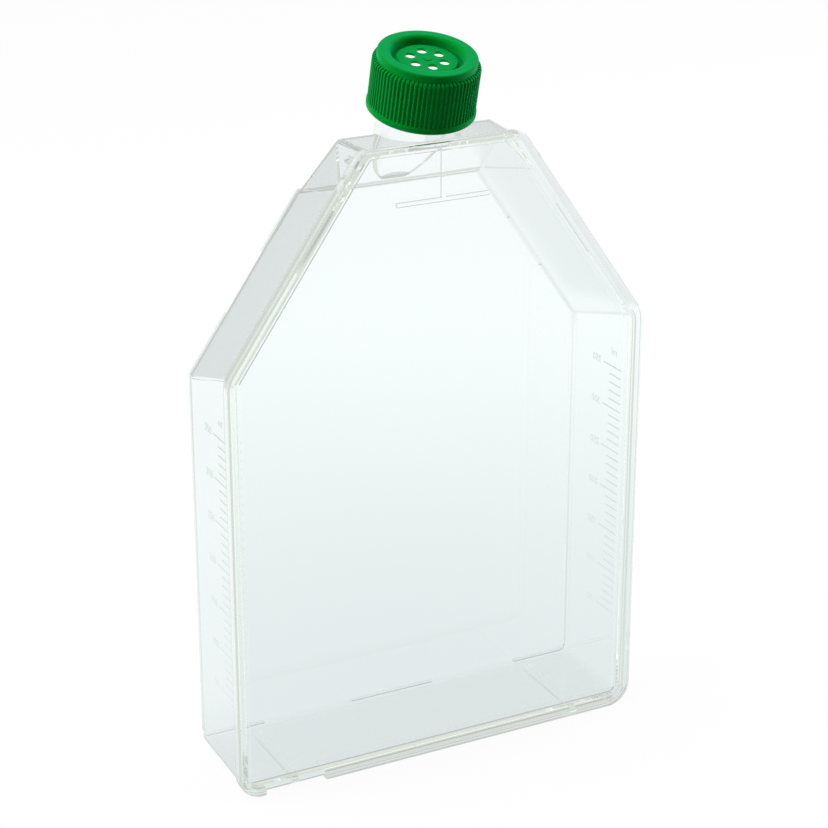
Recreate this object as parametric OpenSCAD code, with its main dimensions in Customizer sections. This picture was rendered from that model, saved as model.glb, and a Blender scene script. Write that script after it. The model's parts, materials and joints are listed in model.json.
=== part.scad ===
// Cell culture flask with a canted neck and a vented screw cap.
// It stands on its end: X is across the flask, Y runs from the lid to the growth plate, Z is up.
// The origin is the middle of the lid's foot edge, level with the outer face of the lid's plate.

/* [Lid and flange] */
// Width of the lid, over its rim
lid_w = 129; // [115:1:145]
// Height of the lid at its shoulders, where the sides start to slope in
shoulder_z = 126.5; // [110:0.5:140]
// Height of the lid's top edge, below the neck
top_z = 184.5; // [176:0.5:200]
// Width of the lid's top edge
top_w = 48.6; // [42:0.2:56]
// Thickness of the lid's plate
lid_t = 1.3; // [1:0.1:2]
// How far the stacking rim stands in front of the lid's plate
rim_h = 2; // [1:0.1:3]
// Width of the rim along the sides
rim_side_w = 2.4; // [1.6:0.1:4]
// Width of the rim along the foot and the top
rim_end_w = 1.9; // [1.4:0.1:4]
// Draft of the rim's inner wall, over its whole height
rim_draft = 0.8; // [0.2:0.1:1.2]
// Rounded edge round the front of the rim
rim_edge = 0.5; // [0.2:0.1:0.9]
// Radius of the two lower corners
foot_corner_r = 7; // [4:0.5:9]
// Radius of the two shoulder corners
shoulder_corner_r = 9; // [5:0.5:12]
// Radius of the two top corners
top_corner_r = 4.5; // [3:0.5:6]
// Depth of the lip on the back of the lid that plugs into the tray
plug_h = 1.2; // [0.6:0.1:2]
// Thickness of that lip
plug_t = 1; // [0.6:0.1:1.6]
// Gap between the lip and the tray's walls
plug_gap = 0.15; // [0.05:0.05:0.4]
// Radius of that lip's corners
plug_corner_r = 2.2; // [1.6:0.1:4]
// Length of the gap in the rim near one lower corner
notch_w = 19; // [10:1:30]
// Distance from the flask's side to that gap
notch_x = 8; // [7:0.5:14]
// How far the lid's foot edge is cut up inside the gap
notch_z = 0.7; // [0.3:0.1:1.2]

/* [T rib on the lid] */
// Length of the cross bar
bar_l = 28; // [16:1:36]
// Height of the bar above the foot
bar_z = 168.4; // [160:0.2:172]
// Width of the rib
bar_w = 1.1; // [0.8:0.1:2]
// How far the rib stands out of the lid's plate
bar_h = 1; // [0.3:0.1:1.6]

/* [Tray] */
// Depth from the face of the lid's plate to the outside of the growth plate
tray_d = 32.6; // [28:0.2:40]
// Thickness of the tray's walls
wall_t = 1.4; // [1:0.1:2]
// Thickness of the growth plate
plate_t = 1.4; // [1:0.1:2]
// Thickness of the flange that the lid is welded to
flange_t = 0.9; // [0.6:0.1:1.6]
// Step from the lid's edge in to the flange's edge
flange_in = 0.3; // [0:0.1:0.6]
// How far the lid stands proud of the walls below it
wall_in = 1.9; // [1.2:0.1:3]
// How far the lid stands proud of the top wall
top_wall_in = 0.5; // [0.3:0.1:1]
// How far the lid stands proud of the growth plate's sides and foot
plate_in = 2.2; // [1.4:0.1:4]
// Height of the growth plate's shoulders
plate_shoulder_z = 117.6; // [104:0.2:122]
// Height of the growth plate's top edge, where the ramp starts
plate_top_z = 166.8; // [156:0.2:170]
// Width of the growth plate's top edge
plate_top_w = 56.4; // [48:0.2:64]
// Height on the sloping walls where they turn up towards the shelf
fold_z = 172; // [168:0.5:174]
// Depth of the shelf round the neck, from the face of the lid's plate
shelf_d = 16; // [13:0.5:18]
// Width of the shelf at its back edge
shelf_w = 48.8; // [44:0.2:54]
// Outside radius of the tray's edges
edge_r = 2; // [1.6:0.1:2.6]
// Radius of the moulding gate's stub beside the neck
gate_r = 1.7; // [1:0.1:2.2]
// How far the stub stands out
gate_h = 1.4; // [0.6:0.1:2]
// Distance from the flange to the stub's middle
gate_y = 2.4; // [2.2:0.1:4]
// Height of the stub's middle
gate_z = 180.8; // [176:0.2:181]

/* [Stacking rib on the growth plate] */
// Height of the rib
bead_h = 0.8; // [0.4:0.1:1.4]
// Width of the rib
bead_w = 1.2; // [0.8:0.1:2]
// Distance from the plate's edge in to the rib
bead_in = 0.6; // [0.4:0.1:2]
// Radius of the rib's outer corners
bead_corner_r = 3.2; // [2.6:0.1:6]
// Half width of the gap in the rib at the top
bead_top_gap = 12; // [6:0.5:16]
// Length of the gap in each sloping run
bead_slope_gap = 19.5; // [10:0.5:30]
// Half length of the rib's middle run at the foot
bead_mid = 13.7; // [8:0.5:20]
// Length of the gap on each side of that run
bead_foot_gap = 29; // [10:0.5:32]

/* [Feet] */
// Distance between the two foot ribs
foot_span = 92; // [70:1:104]
// Width of a foot rib
foot_w = 2.2; // [1.4:0.1:4]
// Distance from a foot rib's back end to the growth plate
foot_back = 3.6; // [2.6:0.2:10]

/* [Neck] */
// Tilt of the neck towards the lid, in degrees
neck_tilt = 14.7; // [0:0.1:18]
// Distance from the face of the lid's plate to the neck's axis, at the shelf
neck_y = 14.2; // [13.8:0.1:15]
// Bore radius of the neck
neck_bore_r = 10.3; // [9:0.1:10.8]
// Thickness of the neck's wall
neck_wall_t = 1.7; // [1.2:0.1:1.8]
// Bare length of neck between the shelf and the closed cap
neck_bare = 6.3; // [5.8:0.1:9]
// Chamfer round the neck's lip
lip_edge = 0.4; // [0.2:0.1:0.6]

/* [Thread] */
// Rise of the thread in one turn
thread_pitch = 4; // [3.6:0.1:5]
// How far the thread stands out of its wall
thread_h = 0.9; // [0.6:0.05:1]
// Width of the thread at its root
thread_root_w = 1.6; // [1.2:0.1:1.8]
// Width of the thread at its crest
thread_crest_w = 0.8; // [0.5:0.1:1]
// Gap between the loaded flanks when the cap is closed
thread_gap = 0.1; // [0.05:0.05:0.2]
// Turns of thread on the neck
neck_turns = 1.25; // [1:0.05:1.5]
// Turns of thread in the cap
cap_turns = 1; // [0.75:0.05:1.1]
// Distance from the neck's lip down to the middle of its thread
thread_start = 2.6; // [2.2:0.1:3]

/* [Cap] */
// Gap between the neck's thread and the bore of the cap
cap_gap = 0.55; // [0.4:0.05:0.8]
// Thickness of the cap's skirt at the grooves
skirt_t = 0.95; // [0.8:0.05:1.1]
// Height of the cap's straight skirt
skirt_h = 13.7; // [13.4:0.1:16]
// Radius of the rounded shoulder above the skirt
shoulder_r = 0.6; // [0.4:0.05:0.7]
// Height of the plain band at the cap's foot
band_h = 1.6; // [0.8:0.1:3]
// Number of grip ribs
grip_count = 76; // [24:1:80]
// Radius of one grip rib
grip_r = 0.36; // [0.25:0.01:0.4]
// Depth of the grooves between the ribs
grip_depth = 0.6; // [0.4:0.05:0.7]
// Radius of the ribs' rounded heads
grip_head_r = 1; // [0.7:0.05:1.2]
// How far the ribs' heads stand above the shoulder between them
grip_head_h = 0.4; // [0.2:0.05:0.6]
// Step in from the skirt to the raised ring
ring_in = 1.35; // [1.3:0.05:1.6]
// Height of the raised ring above the ribs' heads
ring_h = 2.1; // [1.8:0.1:3]
// Radius of the raised ring's outer edge
ring_edge_r = 0.5; // [0.3:0.05:1]
// Width of the raised ring, from its outer wall to the mouth of the recess
ring_w = 2.6; // [2.4:0.05:3]
// Radius of the raised ring's inner edge
ring_lip_r = 1.1; // [0.5:0.05:1.2]
// Depth of the vented disc in the recess, below the top of the ring
disc_depth = 1.7; // [1.4:0.05:2.2]
// Radius of the vented disc
disc_r = 8.3; // [8.1:0.05:8.6]
// Radius of the disc's edge
disc_edge_r = 0.25; // [0.1:0.05:0.4]
// Thickness of the vented disc
disc_t = 0.7; // [0.6:0.05:1]
// Depth of the groove round the disc
moat_depth = 1.1; // [0.8:0.1:1.3]
// How far the groove's outer wall leans in, from the mouth down to its floor
moat_taper = 0.3; // [0:0.1:0.4]
// Number of vent holes
vent_count = 6; // [3:1:8]
// Radius of a vent hole
vent_r = 1.5; // [0.8:0.1:1.6]
// Radius of the circle that the vent holes lie on
vent_ring_r = 4.7; // [4.4:0.05:5.2]
// Angle of the first vent hole, in degrees
vent_angle = 22; // [0:1:59]
// Depth of the sealing ring that enters the neck
seal_h = 1.6; // [0.8:0.1:2]
// Thickness of the sealing ring
seal_t = 2.5; // [2.4:0.1:2.8]
// Gap between the sealing ring and the neck's bore
seal_gap = 0.08; // [0.04:0.01:0.1]

/* [Vent membrane] */
// Gap between the membrane and the sealing ring round it
membrane_gap = 0.5; // [0.2:0.1:1.6]
// Thickness of the membrane
membrane_t = 0.25; // [0.15:0.05:0.5]

/* [Hidden] */
$fn = 96;
ball_fn = 20;
eps = 0.01;
// How far the root of a thread is sunk in its wall.
thread_sink = 0.3;
// Steps of a thread in one turn, and steps over which each end runs out.
thread_steps = 40;
thread_runout = 3;
// Gap between the crest of the cap's thread and the neck's wall, and lead-in at the cap's foot.
crest_gap = 0.45;
lead_in = 0.6;
// Small broken edges of the cap.
cap_edge = 0.5;
// Width of a grip rib's head where it runs in to the raised ring.
grip_neck_w = 1.8 * grip_r;
// How far the shelf's form is sunk in the walls and in the growth plate that it runs into.
wall_sink = 0.05;
plate_sink = 0.3;

lid_y = lid_t;
flange_y = lid_y + flange_t;
shelf_z = top_z - top_wall_in;
neck_r = neck_bore_r + neck_wall_t;
thread_crest_r = neck_r + thread_h;
ledge_z = skirt_h + shoulder_r + grip_head_h;
cap_height = ledge_z + ring_h;
cap_bore_r = thread_crest_r + cap_gap;
grip_root_r = cap_bore_r + skirt_t;
cap_r = grip_root_r + grip_depth;
ring_r = cap_r - ring_in;
recess_r = ring_r - ring_w;
seal_r = neck_bore_r - seal_gap;
membrane_r = seal_r - seal_t - membrane_gap;
disc_z = cap_height - disc_depth;
moat_z = disc_z - moat_depth;
seat_z = disc_z - disc_t;
cap_crest_r = neck_r + crest_gap;
ramp_angle = atan2(shelf_z - plate_top_z, tray_d - shelf_d);
clear_grey = [0.86, 0.92, 0.91, 0.35];

// Corners of the lid, anticlockwise from the lower left as seen from the front.
lid_outline = [
    [-lid_w / 2, 0], [lid_w / 2, 0], [lid_w / 2, shoulder_z],
    [top_w / 2, top_z], [-top_w / 2, top_z], [-lid_w / 2, shoulder_z]
];
lid_radii = [
    foot_corner_r, foot_corner_r, shoulder_corner_r,
    top_corner_r, top_corner_r, shoulder_corner_r
];
// Corners of the tray's walls where they leave the flange.
mouth_outline = inset(lid_outline, [wall_in, wall_in, wall_in, top_wall_in, wall_in, wall_in]);
// Corners of the growth plate.
plate_outline = [
    [-lid_w / 2 + plate_in, plate_in], [lid_w / 2 - plate_in, plate_in],
    [lid_w / 2 - plate_in, plate_shoulder_z], [plate_top_w / 2, plate_top_z],
    [-plate_top_w / 2, plate_top_z], [-lid_w / 2 + plate_in, plate_shoulder_z]
];

function cross2(a, b) = a[0] * b[1] - a[1] * b[0];
function inward(a, b) = [a[1] - b[1], b[0] - a[0]] / norm(b - a);
function meet(p, d, q, e) = p + d * (cross2(q - p, e) / cross2(d, e));
function pick(v, i) = is_list(v) ? v[i] : v;

// The outline moved in by one distance, or by one distance for each edge.
function inset(pts, by) = [
    for (i = [0 : len(pts) - 1])
        let (
            n = len(pts),
            h = (i + n - 1) % n,
            a = pts[h],
            b = pts[i],
            c = pts[(i + 1) % n]
        )
        meet(b + inward(a, b) * pick(by, h), b - a, b + inward(b, c) * pick(by, i), c - b)
];

// An outline with round corners.
module rounded(pts, radii) {
    n = len(pts);
    centres = [for (i = [0 : n - 1]) inset(pts, pick(radii, i))[i]];
    polygon([
        for (i = [0 : n - 1])
            for (side = [0, 1])
                let (
                    a = pts[(i + n - 1 + side) % n],
                    b = pts[(i + side) % n]
                )
                centres[i] - inward(a, b) * pick(radii, i)
    ]);
    for (i = [0 : n - 1]) {
        translate(centres[i]) circle(r = pick(radii, i));
    }
}

// A flat shape drawn in X and Z, made solid from y0 to y1.
module slab(y0, y1) {
    translate([0, y1, 0]) rotate([90, 0, 0]) linear_extrude(y1 - y0) children();
}

// Places its children on the neck's axis, at a height above the cap's foot.
module on_neck(h = 0) {
    translate([0, neck_y, shelf_z]) rotate([neck_tilt, 0, 0]) translate([0, 0, neck_bare + h]) children();
}

// ---- tray ----

// Where the right-hand sloping side of an outline is, at a height.
function slope_x(outline, z) =
    let (a = outline[2], b = outline[3])
    a[0] + (b[0] - a[0]) * (z - a[1]) / (b[1] - a[1]);

// A short post from the flange back, at a corner of the tray's mouth.
module mouth_post(p, r, y0) {
    translate([p[0], y0, p[1]]) rotate([-90, 0, 0]) cylinder(r = r, h = flange_t, $fn = ball_fn);
}

// The tray's main form: its outside, or the hollow that lies depth inside it. Edges have radius r.
module tray_form(depth, r, y0) {
    hull() {
        for (p = inset(mouth_outline, depth + r)) {
            mouth_post(p, r, y0);
        }
        for (p = inset(plate_outline, depth + r)) {
            translate([p[0], tray_d - depth - r, p[1]]) sphere(r = r, $fn = ball_fn);
        }
    }
}

// The shelf round the neck, with the ramp that falls from it to the growth plate.
module shelf_form(depth, r, y0) {
    e = depth + r;
    mouth = inset(mouth_outline, e);
    sunk_mouth = inset(mouth_outline, e + wall_sink);
    peak = inset(plate_outline, e + plate_sink)[3];
    hull() {
        for (side = [-1, 1]) {
            for (p = [[slope_x(sunk_mouth, fold_z), fold_z], mouth[3] - [0, eps]]) {
                mouth_post([side * p[0], p[1]], r, y0);
            }
            translate([side * (shelf_w / 2 - e), shelf_d - e * tan(ramp_angle / 2), shelf_z - e])
                sphere(r = r, $fn = ball_fn);
            translate([side * peak[0], tray_d - e - plate_sink, peak[1]]) sphere(r = r, $fn = ball_fn);
        }
    }
}

// Interrupted rib round the growth plate, on which flasks stack.
module stacking_bead() {
    outer = inset(plate_outline, bead_in);
    inner = inset(plate_outline, bead_in + bead_w);
    shoulder = plate_outline[2];
    peak = plate_outline[3];
    slope_angle = atan2(peak[1] - shoulder[1], peak[0] - shoulder[0]);
    reach = 2 * (bead_in + bead_w + 1);
    slab(tray_d - plate_t / 2, tray_d + bead_h) difference() {
        rounded(outer, bead_corner_r);
        rounded(inner, bead_corner_r - bead_w);
        translate([-bead_top_gap, plate_top_z - reach]) square([2 * bead_top_gap, 2 * reach]);
        for (side = [0, 1]) {
            mirror([side, 0]) {
                translate([bead_mid, plate_in - reach]) square([bead_foot_gap, 2 * reach]);
                translate((shoulder + peak) / 2) rotate(slope_angle)
                    square([bead_slope_gap, 2 * reach], center = true);
            }
        }
    }
}

// Two ribs under the foot wall, level with the lid's foot edge.
module foot_ribs() {
    for (side = [-1, 1]) {
        translate([side * foot_span / 2 - foot_w / 2, lid_y, 0])
            cube([foot_w, tray_d - foot_back - lid_y, plate_in + wall_t / 2]);
    }
}

// One ridge that climbs a round wall of radius r0 and stands out, or in, to r1.
module thread_ridge(r0, r1, turns, z0) {
    n = ceil(turns * thread_steps);
    root_r = r0 - sign(r1 - r0) * thread_sink;
    rings = [
        for (i = [0 : n])
            let (
                rise = min(1, i / thread_runout, (n - i) / thread_runout),
                out_r = root_r + (r1 - root_r) * max(rise, 0.02),
                a = 360 * turns * i / n,
                z = z0 + thread_pitch * turns * i / n
            )
            each [
                for (q = [
                    [root_r, -thread_root_w / 2], [out_r, -thread_crest_w / 2],
                    [out_r, thread_crest_w / 2], [root_r, thread_root_w / 2]
                ])
                    [q[0] * cos(a), q[0] * sin(a), z + q[1]]
            ]
    ];
    sides = [
        for (i = [0 : n - 1])
            for (j = [0 : 3])
                let (a = 4 * i + j, b = 4 * i + (j + 1) % 4)
                each [[a, b, b + 4], [a, b + 4, a + 4]]
    ];
    ends = [[3, 2, 1], [3, 1, 0], [4 * n, 4 * n + 1, 4 * n + 2], [4 * n, 4 * n + 2, 4 * n + 3]];
    outward = concat(sides, ends);
    polyhedron(points = rings, faces = r1 > r0 ? outward : [for (f = outward) [f[2], f[1], f[0]]]);
}

// Height of the neck's thread at its lower end, above the closed cap's foot.
neck_thread_z = seat_z - thread_start - thread_pitch * neck_turns;
// Half width of the neck's ridge where the crest of the cap's ridge meets it.
reach_in = (cap_crest_r - neck_r + thread_sink) / (thread_h + thread_sink);
neck_half_w = thread_root_w / 2 + (thread_crest_w - thread_root_w) / 2 * reach_in;
// The cap's ridge runs just below the neck's and holds the cap down on the lip.
cap_thread_z = neck_thread_z - neck_half_w - thread_crest_w / 2 - thread_gap;

// Stub that the moulding gate leaves on the sloping wall, square to it.
module gate_stub() {
    a = mouth_outline[2];
    b = mouth_outline[3];
    lean_angle = atan2(b[0] - a[0], b[1] - a[1]);
    translate([-slope_x(mouth_outline, gate_z), flange_y + gate_y, gate_z]) rotate([0, lean_angle - 90, 0])
        translate([0, 0, -wall_t / 2]) cylinder(r = gate_r, h = wall_t / 2 + gate_h, $fn = 32);
}

// How far down its axis the neck's wall at radius r meets the ramp, sunk by some depth.
function ramp_reach(r, sunk) =
    let (slope = tan(ramp_angle))
    (r * sin(neck_tilt) + (neck_y + r * cos(neck_tilt) - shelf_d) * slope + sunk / cos(ramp_angle))
    / (cos(neck_tilt) - slope * sin(neck_tilt));

module neck_outside() {
    root_z = -neck_bare - ramp_reach(neck_r, wall_t / 2);
    on_neck() rotate_extrude() polygon([
        [0, root_z], [neck_r, root_z], [neck_r, seat_z - lip_edge],
        [neck_r - lip_edge, seat_z], [0, seat_z]
    ]);
}

module neck_bore() {
    root = ramp_reach(neck_bore_r, wall_t + eps);
    on_neck(-neck_bare - root) cylinder(r = neck_bore_r, h = neck_bare + root + seat_z + 1);
}

module tray() {
    hollow_r = edge_r / 2;
    color(clear_grey) {
        difference() {
            union() {
                tray_form(0, edge_r, lid_y);
                shelf_form(0, edge_r, lid_y);
                slab(lid_y, flange_y) rounded(inset(lid_outline, flange_in), lid_radii);
                stacking_bead();
                foot_ribs();
                gate_stub();
                neck_outside();
            }
            tray_form(wall_t, hollow_r, lid_y - flange_t / 2);
            shelf_form(wall_t, hollow_r, lid_y - flange_t / 2);
            neck_bore();
        }
        on_neck() thread_ridge(neck_r, thread_crest_r, neck_turns, neck_thread_z);
    }
}

// ---- lid ----

module lid() {
    inner_ends = [rim_end_w, rim_side_w, rim_side_w, rim_end_w, rim_side_w, rim_side_w];
    color(clear_grey) {
        difference() {
            hull() {
                slab(-rim_h, eps - rim_h)
                    rounded(inset(lid_outline, rim_edge), [for (r = lid_radii) r - rim_edge]);
                slab(rim_edge - rim_h, lid_y) rounded(lid_outline, lid_radii);
            }
            hull() {
                slab(-eps - rim_h, -rim_h)
                    rounded(inset(lid_outline, inner_ends), [for (r = lid_radii) r - rim_end_w]);
                slab(-eps, 0) rounded(
                    inset(lid_outline, [for (w = inner_ends) w + rim_draft]),
                    [for (r = lid_radii) r - rim_end_w - rim_draft]
                );
            }
            translate([notch_x - lid_w / 2, -rim_h - 1, -1]) {
                cube([notch_w, rim_h + 1, rim_end_w + rim_draft + 2]);
                cube([notch_w, rim_h + lid_y + 2, notch_z + 1]);
            }
        }
        t_rib();
        plug_lip();
    }
}

module t_rib() {
    translate([-bar_l / 2, -bar_h, bar_z - bar_w / 2]) cube([bar_l, bar_h + eps, bar_w]);
    translate([-bar_w / 2, -bar_h, bar_z]) cube([bar_w, bar_h + eps, top_z - rim_end_w - bar_z]);
}

// How far the tray's wall i has leaned in at the end of the lip. The shelf's wall is upright.
function lean(i) =
    let (n = inward(mouth_outline[i], mouth_outline[(i + 1) % 6]))
    i == 3 ? 0 : max(0, (plate_outline[i] - mouth_outline[i]) * n) * plug_h / (tray_d - lid_y);

module plug_lip() {
    outer = inset(mouth_outline, [for (i = [0 : 5]) wall_t + plug_gap + lean(i)]);
    slab(lid_y - eps, lid_y + plug_h) difference() {
        rounded(outer, plug_corner_r);
        rounded(inset(outer, plug_t), plug_corner_r - plug_t / 2);
    }
}

// ---- cap ----

// Points of an arc about c, from angle a0 to a1, in n steps.
function arc(c, r, a0, a1, n) = [
    for (i = [0 : n])
        let (a = a0 + (a1 - a0) * i / n)
        c + r * [cos(a), sin(a)]
];

module cap_body() {
    rotate_extrude() polygon(concat(
        [[0, seat_z], [cap_bore_r, seat_z], [cap_bore_r, lead_in], [cap_bore_r + lead_in, 0]],
        [[cap_r - cap_edge, 0], [cap_r, cap_edge], [cap_r, band_h], [grip_root_r, band_h + grip_depth]],
        arc([grip_root_r - shoulder_r, skirt_h], shoulder_r, 0, 90, 4),
        [[ring_r, skirt_h + shoulder_r]],
        arc([ring_r - ring_edge_r, cap_height - ring_edge_r], ring_edge_r, 0, 90, 6),
        [[0, cap_height]]
    ));
}

// The space inside the raised ring, over the vented disc and down the groove round it.
module recess_cut() {
    rotate_extrude() polygon(concat(
        [[0, cap_height + 1], [0, disc_z]],
        arc([disc_r - disc_edge_r, disc_z - disc_edge_r], disc_edge_r, 90, 0, 3),
        [[disc_r, moat_z], [recess_r - ring_lip_r - moat_taper, moat_z]],
        arc([recess_r, cap_height - ring_lip_r], ring_lip_r, 180, 90, 5),
        [[recess_r, cap_height + 1]]
    ));
}

// The ring under the disc that enters the neck.
module seal_ring() {
    rotate_extrude() polygon([
        [seal_r - seal_t, seat_z - seal_h], [seal_r, seat_z - seal_h],
        [seal_r, seat_z + eps], [seal_r - seal_t, seat_z + eps]
    ]);
}

// Grip ribs. Their heads round over and run in to the raised ring.
module grips() {
    crest = grip_root_r + grip_r;
    head_z = ledge_z - grip_head_r;
    intersection() {
        translate([0, 0, band_h]) linear_extrude(cap_height - band_h) {
            for (i = [0 : grip_count - 1]) {
                rotate(i * 360 / grip_count) {
                    translate([grip_root_r, 0]) circle(r = grip_r, $fn = 24);
                    translate([ring_r - wall_sink, -grip_neck_w / 2])
                        square([grip_root_r - ring_r + wall_sink, grip_neck_w]);
                }
            }
        }
        rotate_extrude() polygon(concat(
            [[cap_bore_r, 0], [crest + eps, 0]],
            arc([crest + eps - grip_head_r, head_z], grip_head_r, 0, 90, 6),
            [[cap_bore_r, ledge_z]]
        ));
    }
}

module screw_cap() {
    color([0.0, 0.55, 0.3]) on_neck() {
        difference() {
            union() {
                cap_body();
                grips();
                seal_ring();
            }
            recess_cut();
            for (i = [0 : vent_count - 1]) {
                rotate(vent_angle + i * 360 / vent_count) translate([vent_ring_r, 0, seat_z - 1])
                    cylinder(r = vent_r, h = disc_t + 2, $fn = 32);
            }
        }
        thread_ridge(cap_bore_r, cap_crest_r, cap_turns, cap_thread_z);
    }
}

// ---- vent membrane ----

module vent_membrane() {
    color("white") on_neck(seat_z - membrane_t) cylinder(r = membrane_r, h = membrane_t);
}

tray();
lid();
vent_membrane();
screw_cap();
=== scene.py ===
import json
import math

import bmesh
import bpy
from mathutils import Matrix, Vector
from mathutils.bvhtree import BVHTree


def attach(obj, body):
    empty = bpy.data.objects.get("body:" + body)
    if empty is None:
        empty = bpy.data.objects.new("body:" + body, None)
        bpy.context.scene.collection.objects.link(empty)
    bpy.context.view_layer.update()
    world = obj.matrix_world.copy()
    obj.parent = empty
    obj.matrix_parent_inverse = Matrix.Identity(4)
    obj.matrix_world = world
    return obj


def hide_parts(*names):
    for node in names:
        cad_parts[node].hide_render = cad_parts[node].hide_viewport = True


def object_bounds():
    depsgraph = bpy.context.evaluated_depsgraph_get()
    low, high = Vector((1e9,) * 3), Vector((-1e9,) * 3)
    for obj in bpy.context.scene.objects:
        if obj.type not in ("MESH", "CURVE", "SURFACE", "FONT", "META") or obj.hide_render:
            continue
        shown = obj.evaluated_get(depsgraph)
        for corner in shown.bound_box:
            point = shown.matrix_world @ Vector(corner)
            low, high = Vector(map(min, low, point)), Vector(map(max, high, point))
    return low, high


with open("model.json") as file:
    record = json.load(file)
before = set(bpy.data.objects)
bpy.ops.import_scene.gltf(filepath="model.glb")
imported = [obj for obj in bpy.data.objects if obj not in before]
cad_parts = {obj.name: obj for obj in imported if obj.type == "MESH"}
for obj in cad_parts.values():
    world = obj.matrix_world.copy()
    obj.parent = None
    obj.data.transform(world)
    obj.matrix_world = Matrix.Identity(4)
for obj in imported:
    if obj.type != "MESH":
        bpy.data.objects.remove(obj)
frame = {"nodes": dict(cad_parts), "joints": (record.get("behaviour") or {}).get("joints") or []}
cadLow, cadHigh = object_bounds()
nodes = frame["nodes"]
print("frame loaded:", ", ".join(sorted(nodes)))


class Wire:
    # a node socket that can be used in sums
    def __init__(self, socket):
        self.socket = socket
        self.tree = socket.id_data

    def sum(self, operation, first, second):
        maths = self.tree.nodes.new("ShaderNodeMath")
        maths.operation = operation
        for place, value in zip(maths.inputs, (first, second)):
            plug(self.tree, place, value)
        return Wire(maths.outputs[0])

    def __add__(self, other):
        return self.sum("ADD", self, other)

    def __radd__(self, other):
        return self.sum("ADD", other, self)

    def __sub__(self, other):
        return self.sum("SUBTRACT", self, other)

    def __rsub__(self, other):
        return self.sum("SUBTRACT", other, self)

    def __mul__(self, other):
        return self.sum("MULTIPLY", self, other)

    def __rmul__(self, other):
        return self.sum("MULTIPLY", other, self)


def plug(tree, place, value):
    # a link or a plain value goes into a socket
    if isinstance(value, Wire):
        tree.links.new(value.socket, place)
    elif isinstance(value, (tuple, list)) and len(value) == 3 and place.type == "RGBA":
        place.default_value = (*value, 1)
    else:
        place.default_value = value


def setStops(ramp, stops):
    while len(ramp.elements) < len(stops):
        ramp.elements.new(1)
    for element, (place, colour) in zip(ramp.elements, stops):
        element.position = place
        element.color = (*colour, 1)


class Finish:
    # the node tree of one material or of the world
    def __init__(self, owner):
        owner.use_nodes = True
        self.tree = owner.node_tree
        self.tree.nodes.clear()

    def node(self, kind, settings=None, inputs=None, out=0):
        made = self.tree.nodes.new("ShaderNode" + kind)
        for name, value in (settings or {}).items():
            if name == "stops":
                setStops(made.color_ramp, value)
            else:
                setattr(made, name, value)
        for name, value in (inputs or {}).items():
            plug(self.tree, made.inputs[name], value)
        return Wire(made.outputs[out])

    def mixColour(self, factor, first, second):
        mixed = self.node("Mix", {"data_type": "RGBA"}, out=2)
        sockets = mixed.socket.node.inputs
        for place, value in ((sockets[0], factor), (sockets[6], first), (sockets[7], second)):
            plug(self.tree, place, value)
        return mixed

    def noise(self, scale, detail, stretch=(1, 1, 1)):
        place = self.node("TexCoord", out="Object")
        scaled = self.node("Mapping", inputs={"Vector": place, "Scale": stretch})
        return self.node("TexNoise", inputs={"Vector": scaled, "Scale": scale, "Detail": detail})

    def bump(self, height, strength, distance):
        return self.node("Bump", inputs={"Height": height, "Strength": strength, "Distance": distance})

    def ramp(self, value, start, end, kind="LINEAR"):
        return self.node("MapRange", {"interpolation_type": kind}, {
            "Value": value, "From Min": start, "From Max": end})

    def end(self, surface, volume=None):
        made = self.tree.nodes.new("ShaderNodeOutputMaterial")
        plug(self.tree, made.inputs["Surface"], surface)
        if volume:
            plug(self.tree, made.inputs["Volume"], volume)


def newMaterial(name):
    material = bpy.data.materials.new(name)
    return material, Finish(material)


lightTurns = 8  # how often light may turn before it ends, inside the plastic as elsewhere

clearPlastic = {
    "tint": (0.995, 1.0, 1.0),
    "tintDeep": (0.985, 0.995, 0.992),
    "cloudScale": 14,
    "ior": 1.57,
    "polish": 0.025,
    "haze": 0.04,
    "flowScale": 9,
    "flowStretch": (1, 1, 0.35),  # the melt ran from the foot to the neck
    "waviness": 0.08,
    "waveHeight": 0.0006,
    "depthColour": (0.72, 0.83, 0.70),
    "depthDensity": 8,
    "paintedSkinGlow": (0.0130, 0.0140, 0.0134),  # painted glow in place of the little light that each skin of the plastic gives back
    "paintedRimGlow": (0.31, 0.325, 0.30),  # painted glow in the rims, in place of the light that runs on inside them
    "trappedAfter": lightTurns - 0.5,
}
markPlastic = {**clearPlastic, "polish": 0.035, "haze": 0.05, "waviness": 0.0}


def clearFinish(name, look):
    material, finish = newMaterial(name)
    cloud = finish.noise(look["cloudScale"], 1)
    flow = finish.noise(look["flowScale"], 1, look["flowStretch"])
    # past trappedAfter turns the plastic paints a glow where light would run on
    turns = finish.node("LightPath", out="Ray Depth")
    paintedGlowMask = finish.node("Math", {"operation": "GREATER_THAN"}, {0: turns, 1: look["trappedAfter"]})
    shader = finish.node("BsdfPrincipled", inputs={
        "Base Color": finish.mixColour(cloud, look["tint"], look["tintDeep"]),
        "Roughness": look["polish"] + look["haze"] * cloud * cloud,
        "IOR": look["ior"],
        "Transmission Weight": 1.0,
        "Normal": finish.bump(flow, look["waviness"], look["waveHeight"]),
        # painted glow: the plastic's skin glows a little, and far more once light has turned trappedAfter
        # times
        "Emission Color": finish.mixColour(paintedGlowMask, look["paintedSkinGlow"], look["paintedRimGlow"]),
        "Emission Strength": 1.0,
    })
    depth = finish.node("VolumeAbsorption", inputs={
        "Color": look["depthColour"], "Density": look["depthDensity"]})
    finish.end(shader, depth)
    return material


greenCap = {
    "colour": (0.001, 0.295, 0.024),
    "shade": (0.001, 0.262, 0.018),
    "cloudScale": 160,
    "roughness": 0.40,
    "mottle": 0.10,
    "grainScale": 5200,
    "grain": 0.2,
    "grainHeight": 0.00004,
    "ior": 1.5,
    "gloss": 0.06,
    "glossColour": (0.02, 0.85, 0.8),
    "sheen": 0.36,
    "sheenRoughness": 0.45,
    "sheenColour": (0.0, 0.85, 0.75),
}


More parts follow.
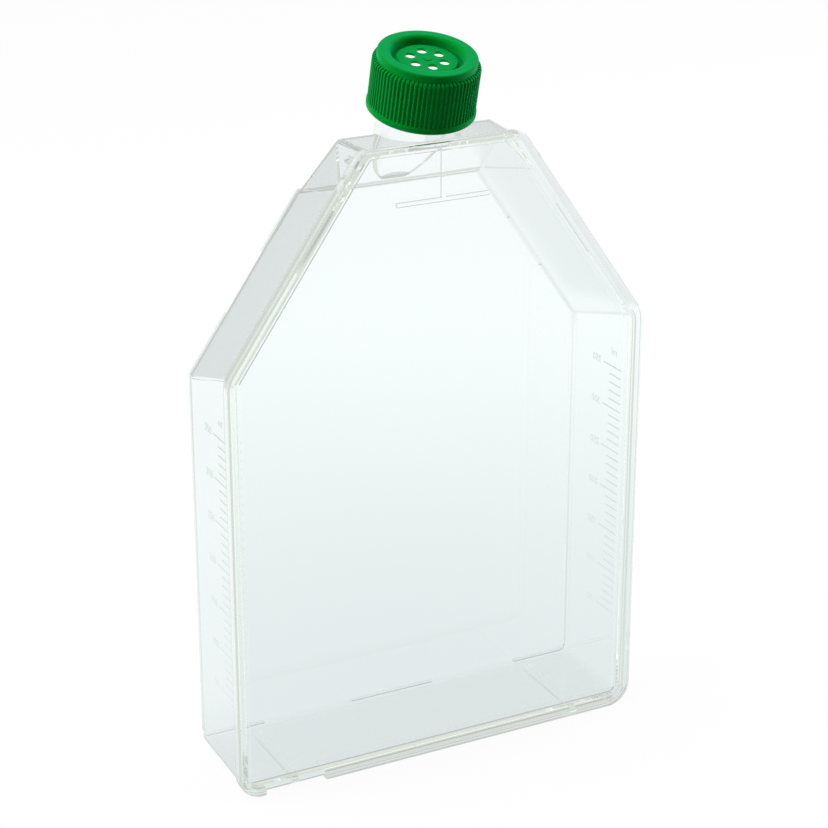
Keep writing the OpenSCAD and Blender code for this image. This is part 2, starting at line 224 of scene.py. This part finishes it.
def capFinish(name, look):
    material, finish = newMaterial(name)
    cloud = finish.noise(look["cloudScale"], 3)
    grain = finish.noise(look["grainScale"], 2)
    shader = finish.node("BsdfPrincipled", inputs={
        "Base Color": finish.mixColour(cloud, look["colour"], look["shade"]),
        "Roughness": look["roughness"] + look["mottle"] * (cloud - 0.5),
        "IOR": look["ior"],
        "Specular IOR Level": look["gloss"],
        "Specular Tint": look["glossColour"],
        "Sheen Weight": look["sheen"],
        "Sheen Roughness": look["sheenRoughness"],
        "Sheen Tint": look["sheenColour"],
        "Normal": finish.bump(grain, look["grain"], look["grainHeight"]),
    })
    finish.end(shader)
    return material


membrane = {
    "colour": (0.92, 0.93, 0.92),
    "shade": (0.84, 0.86, 0.85),
    "fibreScale": 4200,
    "fibres": 0.5,
    "fibreHeight": 0.00005,
    "roughness": 0.85,
    "paintedGlowColour": (0.95, 1.0, 0.98),  # painted glow for what comes through it from inside the clear flask
    "glow": 0.6,
}


def membraneFinish(name, look):
    material, finish = newMaterial(name)
    fibre = finish.noise(look["fibreScale"], 4)
    shader = finish.node("BsdfPrincipled", inputs={
        "Base Color": finish.mixColour(fibre, look["colour"], look["shade"]),
        "Roughness": look["roughness"],
        "Normal": finish.bump(fibre, look["fibres"], look["fibreHeight"]),
        # painted glow: the membrane lights itself in place of the light coming through it
        "Emission Color": look["paintedGlowColour"],
        "Emission Strength": look["glow"],
    })
    finish.end(shader)
    return material


clearMaterial = clearFinish("clear_polystyrene", clearPlastic)
markMaterial = clearFinish("frosted_polystyrene", markPlastic)
greenMaterial = capFinish("green_cap_plastic", greenCap)
membraneMaterial = membraneFinish("membrane_fibre", membrane)


def dress(node, material):
    data = nodes[node].data
    data.materials.clear()
    data.materials.append(material)


dress("tray", clearMaterial)
dress("lid", clearMaterial)
dress("screw_cap", greenMaterial)
dress("vent_membrane", membraneMaterial)
print("finishes ready")


def skinOf(node):
    # the faces of a CAD node, to set marks on
    form = bmesh.new()
    form.from_mesh(nodes[node].data)
    form.transform(nodes[node].matrix_world)
    tree = BVHTree.FromBMesh(form)
    form.free()
    return tree


def addBox(form, place, size):
    corners = [place @ Vector((x * size[0] / 2, y * size[1] / 2, z * size[2] / 2))
               for x in (-1, 1) for y in (-1, 1) for z in (-1, 1)]
    points = [form.verts.new(corner) for corner in corners]
    for ring in ((0, 1, 3, 2), (4, 6, 7, 5), (0, 4, 5, 1), (2, 3, 7, 6), (0, 2, 6, 4), (1, 5, 7, 3)):
        form.faces.new([points[i] for i in ring])


def addText(form, words, place, depth, look):
    curve = bpy.data.curves.new("words", "FONT")
    curve.body = words
    curve.size = look["numberHeight"]
    curve.extrude = depth / 2
    curve.resolution_u = look["curveSteps"]
    curve.align_x = "CENTER"
    curve.align_y = "CENTER"
    holder = bpy.data.objects.new("words", curve)
    bpy.context.collection.objects.link(holder)
    bpy.context.view_layer.update()
    solid = bpy.data.meshes.new_from_object(holder.evaluated_get(bpy.context.evaluated_depsgraph_get()))
    solid.transform(place)
    form.from_mesh(solid)
    bpy.data.objects.remove(holder)


touching = 0.000001  # points nearer than this are one


def formObject(name, form, material):
    bmesh.ops.remove_doubles(form, verts=form.verts, dist=touching)
    bmesh.ops.recalc_face_normals(form, faces=form.faces)
    mesh = bpy.data.meshes.new(name)
    form.to_mesh(mesh)
    form.free()
    mesh.materials.append(material)
    made = bpy.data.objects.new(name, mesh)
    bpy.context.collection.objects.link(made)
    return made


graduations = {
    "firstHeight": 0.0280,
    "step": 0.00262,
    "count": 31,
    "tickFront": 0.0052,
    "shortTick": 0.0062,
    "longTick": 0.0095,
    "lineWidth": 0.0004,
    "raised": 0.000015,
    "sunk": 0.00008,
    "numberHeight": 0.0032,
    "numberGap": 0.0036,
    "curveSteps": 3,
    "everyTicks": 5,
    "everyMillilitres": 50,
    "unit": "ml",
    "unitRise": 0.002,
    "unitShift": 0.004,
}


def graduationForm(side, look):
    # ticks and plain numbers that stand out of one side wall
    form = bmesh.new()
    wall = skinOf("tray")
    depth = look["raised"] + look["sunk"]
    farOut = 0.2  # clear of the wall on either side

    def onWall(y, z):
        hit, normal, _, _ = wall.ray_cast(Vector((side * farOut, y, z)), Vector((-side, 0, 0)))
        out = normal * (1 if normal.x * side > 0 else -1)
        along = Vector((0, 0, 1)).cross(out).normalized()
        turn = Matrix((along, out.cross(along), out)).transposed().to_4x4()
        return Matrix.Translation(hit + out * (depth / 2 - look["sunk"])) @ turn

    for i in range(look["count"]):
        z = look["firstHeight"] + i * look["step"]
        long = i % look["everyTicks"] == 0
        length = look["longTick"] if long else look["shortTick"]
        addBox(form, onWall(look["tickFront"] + length / 2, z), (length, look["lineWidth"], depth))
        if long:
            number = (i // look["everyTicks"] + 1) * look["everyMillilitres"]
            y = look["tickFront"] + look["longTick"] + look["numberGap"]
            addText(form, str(number), onWall(y, z), depth, look)
    top = look["firstHeight"] + look["count"] * look["step"] + look["unitRise"]
    addText(form, look["unit"], onWall(look["tickFront"] + look["unitShift"], top), depth, look)
    return formObject("graduations", form, markMaterial)


def joined(name, first, *others):
    # one closed skin round all the solids, as welded plastic has
    made = first.copy()
    made.data = first.data.copy()
    made.name = name
    bpy.context.collection.objects.link(made)
    for other in others:
        union = made.modifiers.new("weld", "BOOLEAN")
        union.operation = "UNION"
        union.solver = "EXACT"
        union.material_mode = "TRANSFER"
        union.object = other
    bpy.context.view_layer.update()
    shaped = made.evaluated_get(bpy.context.evaluated_depsgraph_get())
    skin = bpy.data.meshes.new_from_object(shaped)
    skin.transform(made.matrix_world)
    bpy.data.objects.remove(made)
    whole = bpy.data.objects.new(name, skin)
    bpy.context.collection.objects.link(whole)
    return whole


capTurn = next(joint for joint in frame["joints"] if joint["name"] == "cap_turn")
capWay = Vector(capTurn["axis"]).normalized()
capAcross = Vector((1, 0, 0))
capPlace = Matrix.Translation(capTurn["pos_m"]) @ Matrix(
    (capAcross, capWay.cross(capAcross), capWay)).transposed().to_4x4()


def turned(form, place, profile, steps=32):
    # a closed round form from (radius, height) points that start and end on its axis
    rings = []
    for radius, height in profile:
        if radius == 0:
            rings.append([form.verts.new(place @ Vector((0, 0, height)))] * steps)
            continue
        rings.append([form.verts.new(place @ Vector((
            radius * math.cos(2 * math.pi * i / steps),
            radius * math.sin(2 * math.pi * i / steps), height))) for i in range(steps)])
    for lower, upper in zip(rings, rings[1:]):
        for i in range(steps):
            corners = [lower[i], lower[(i + 1) % steps], upper[(i + 1) % steps], upper[i]]
            corners = [v for j, v in enumerate(corners) if v not in corners[:j]]
            if len(corners) > 2:
                form.faces.new(corners)


capNub = {
    "radius": 0.0013,
    "height": 0.00022,
    "sunk": 0.0001,
    "discReach": 0.0078,
    # shares of the radius and of the height, from the middle below to the middle above
    "profile": ((0, 0), (1, 0), (1, 0.55), (0.88, 0.85), (0.6, 1), (0.25, 0.92), (0, 0.85)),
}


def buildNub(look):
    # the trimmed gate in the middle of the cap
    form = bmesh.new()
    back = capPlace.inverted()
    discTop = max(p.z for p in (back @ v.co for v in nodes["screw_cap"].data.vertices)
                  if math.hypot(p.x, p.y) < look["discReach"])
    place = capPlace @ Matrix.Translation((0, 0, discTop - look["sunk"]))
    radius, height = look["radius"], look["height"] + look["sunk"]
    turned(form, place, [(radius * out, height * up) for out, up in look["profile"]])
    nub = formObject("cap_gate_nub", form, greenMaterial)
    for face in nub.data.polygons:
        face.use_smooth = True
    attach(nub, "cap")


buildNub(capNub)
print("cap fittings ready")

roundNeck = {"reach": 0.0135, "below": 0.035, "sharpAngle": 25}


def shadeRound(shell, look):
    # the weld leaves stale normals: the neck shades round again, and flat walls stay flat
    stale = shell.data.attributes.get("custom_normal")
    if stale:
        shell.data.attributes.remove(stale)
    shell.data.set_sharp_from_angle(angle=math.radians(look["sharpAngle"]))
    back = capPlace.inverted()
    for face in shell.data.polygons:
        spot = back @ face.center
        face.use_smooth = math.hypot(spot.x, spot.y) < look["reach"] and spot.z > -look["below"]


marks = [graduationForm(side, graduations) for side in (-1, 1)]
shell = joined("flask_shell", nodes["tray"], nodes["lid"], *marks)
for mark in marks:
    bpy.data.objects.remove(mark)
shadeRound(shell, roundNeck)
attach(shell, "flask")
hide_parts("tray", "lid")
print("flask welded:", len(shell.data.polygons), "faces,", [m.name for m in shell.data.materials])


def grey(level):
    return (level, level, level)


floorPaper = {
    "size": 3.0,
    "sides": 96,
    "drop": 0.00002,
    "colour": grey(0.93),
    "bounce": (0.25, 0.26, 0.25),
    "glow": 0.95,  # the rest is lit by the lamps, and keeps the shadow
    # painted shade seen through the plastic, darker near the flask
    "paintedShadeNear": (0.745, 0.795, 0.81),
    "throughFar": (0.905, 0.948, 0.953),
    "throughFarther": (0.890, 0.930, 0.935),
    "fadeLength": 0.40,
    "fartherFade": (0.40, 0.62),
    "paintedShadeAside": 0.14,  # painted shade: how much darker the far right is, past two straight edges
    "asideEdges": ((-17.59, 0.134), (22.45, 0.366)),  # each way out, in degrees from X, and how far
    "asideBlur": 0.003,
    # painted reflection: the tones the plastic mirrors, darker near the flask in front and brighter behind
    # it
    "mirrorNear": 0.45,
    "mirrorFar": 0.9,
    "behindNear": 1.1,
    "behindFar": 0.9,
    "behindFade": (0.2, 0.34),
    "behindStart": (0.0, 0.06),
}


def buildFloor(look):
    mesh = bpy.data.meshes.new("floor")
    form = bmesh.new()
    bmesh.ops.create_circle(form, cap_ends=True, segments=look["sides"], radius=look["size"])
    form.to_mesh(mesh)
    form.free()
    floor = bpy.data.objects.new("floor", mesh)
    floor.location.z = cadLow.z - look["drop"]
    bpy.context.collection.objects.link(floor)
    material, finish = newMaterial("floor_paper")
    seen, glossy, mirrored, through = (finish.node("LightPath", out=name) for name in (
        "Is Camera Ray", "Is Glossy Ray", "Is Reflection Ray", "Is Transmission Ray"))
    place = finish.node("TexCoord", out="Object")
    reach = finish.node("VectorMath", {"operation": "LENGTH"}, {0: place}, out="Value")
    onward = finish.node("SeparateXYZ", inputs={0: place}, out="Y")
    fade = finish.ramp(reach, 0.0, look["fadeLength"], "SMOOTHSTEP")

    # painted reflection tones, seen only in the plastic's mirror
    frontTone = finish.mixColour(fade, grey(look["mirrorNear"]), grey(look["mirrorFar"]))
    behindTone = finish.mixColour(finish.ramp(reach, *look["behindFade"], "SMOOTHSTEP"),
                                  grey(look["behindNear"]), grey(look["behindFar"]))
    paintedReflectionTone = finish.mixColour(finish.ramp(onward, *look["behindStart"]), frontTone, behindTone)

    def past(turn, edge):
        way = (math.cos(math.radians(turn)), math.sin(math.radians(turn)), 0)
        along = finish.node("VectorMath", {"operation": "DOT_PRODUCT"}, {0: place, 1: way}, out="Value")
        return finish.ramp(along, edge - look["asideBlur"], edge + look["asideBlur"])

    # a painted shade patch on the floor, seen only through the plastic
    pastOne, pastTwo = (past(turn, edge) for turn, edge in look["asideEdges"])
    asideShadeScale = 1 - look["paintedShadeAside"] * pastOne * pastTwo
    # painted shade round the flask, seen only through the plastic
    paintedThroughShade = finish.mixColour(fade, look["paintedShadeNear"], look["throughFar"])
    paintedThroughShade = finish.mixColour(finish.ramp(reach, *look["fartherFade"], "SMOOTHSTEP"),
                                   paintedThroughShade, look["throughFarther"])
    paintedThroughShade = finish.node("VectorMath", {"operation": "SCALE"}, {0: paintedThroughShade, "Scale": asideShadeScale})

    tone = finish.mixColour(mirrored, finish.mixColour(through, (1, 1, 1), paintedThroughShade), paintedReflectionTone)
    paper = finish.node("BsdfDiffuse", inputs={
        "Color": finish.mixColour(seen, look["bounce"], look["colour"])})
    glow = finish.node("Emission", inputs={"Color": tone, "Strength": 1.0})
    finish.end(finish.node("MixShader", inputs={
        0: seen * look["glow"] + glossy * mirrored + through, 1: paper, 2: glow}))
    mesh.materials.append(material)


studioRoom = {
    "frontWay": (-0.41, -0.83, 0.37),
    "behind": 0.07,  # places run from 0, right behind the flask, to 1, right in front of it
    "behindEnd": 0.13,
    "side": 0.5,
    "front": 0.82,
    "lampSide": 0.7,
    "lampFront": 0.10,
    "mirrorBehind": 1.0,
    "mirrorSide": 0.12,
    "mirrorFront": 0.05,
    "throughSky": 0.45,
}


def buildWorld(look):
    world = bpy.data.worlds.new("studio")
    bpy.context.scene.world = world
    finish = Finish(world)
    seen, through, mirrored = (finish.node("LightPath", out=name) for name in (
        "Is Camera Ray", "Is Transmission Ray", "Is Glossy Ray"))
    way = finish.node("TexCoord", out="Generated")
    facing = finish.node("VectorMath", {"operation": "DOT_PRODUCT"}, {
        0: way, 1: look["frontWay"]}, out="Value")
    place = facing * 0.5 + 0.5
    lamp = finish.node("ValToRGB", {"stops": [
        (look["side"], grey(look["lampSide"])), (look["front"], grey(look["lampFront"]))]}, {"Fac": place})
    mirror = finish.node("ValToRGB", {"stops": [
        (look["behind"], grey(look["mirrorBehind"])), (look["behindEnd"], grey(look["mirrorSide"])),
        (look["side"], grey(look["mirrorSide"])), (look["front"], grey(look["mirrorFront"]))]},
        {"Fac": place})
    level = finish.mixColour(mirrored, lamp, mirror)
    level = finish.mixColour(through, level, grey(look["throughSky"]))
    colour = finish.mixColour(seen, level, (1, 1, 1))
    background = finish.node("Background", inputs={"Color": colour, "Strength": 1.0})
    made = finish.tree.nodes.new("ShaderNodeOutputWorld")
    plug(finish.tree, made.inputs["Surface"], background)


softboxes = {
    "left": {"place": (-0.9, 0.25, 0.5), "size": 0.7, "power": 7},
    "right": {"place": (0.95, 0.05, 0.45), "size": 0.7, "power": 9},
    "top": {"place": (-0.3, 0.1, 1.1), "size": 0.6, "power": 5.4},
}
lampAim = (0, 0.015, 0.12)


def buildLamps(boxes):
    # the plastic shows the room, and not the lamps
    for name, box in boxes.items():
        lamp = bpy.data.lights.new("softbox_" + name, "AREA")
        lamp.shape = "SQUARE"
        lamp.size = box["size"]
        lamp.energy = box["power"]
        holder = bpy.data.objects.new("softbox_" + name, lamp)
        holder.location = box["place"]
        aim = Vector(lampAim) - holder.location
        holder.rotation_euler = aim.to_track_quat("-Z", "Y").to_euler()
        holder.visible_transmission = False
        holder.visible_glossy = False
        bpy.context.collection.objects.link(holder)


camera = {
    "azimuth": -27.12,
    "elevation": 21.77,
    "distance": 0.6802,
    "aim": (0.00994, 0.03596, 0.09149),
    "lens": 100,
    "sensorWidth": 36,
    "clip": (0.01, 20),
}


def buildCamera(look):
    data = bpy.data.cameras.new("camera")
    data.lens = look["lens"]
    data.sensor_width = look["sensorWidth"]
    data.clip_start, data.clip_end = look["clip"]
    holder = bpy.data.objects.new("camera", data)
    azimuth = math.radians(look["azimuth"])
    elevation = math.radians(look["elevation"])
    back = Vector((
        math.sin(azimuth) * math.cos(elevation),
        -math.cos(azimuth) * math.cos(elevation),
        math.sin(elevation),
    ))
    holder.location = Vector(look["aim"]) + back * look["distance"]
    holder.rotation_mode = "QUATERNION"
    holder.rotation_quaternion = (-back).to_track_quat("-Z", "Y")
    bpy.context.collection.objects.link(holder)
    bpy.context.scene.camera = holder


buildFloor(floorPaper)
buildWorld(studioRoom)
buildLamps(softboxes)
buildCamera(camera)
scene = bpy.context.scene
scene.view_settings.view_transform = "Standard"
scene.cycles.glossy_bounces = lightTurns
scene.cycles.transmission_bounces = lightTurns
scene.cycles.max_bounces = lightTurns
print("studio ready")
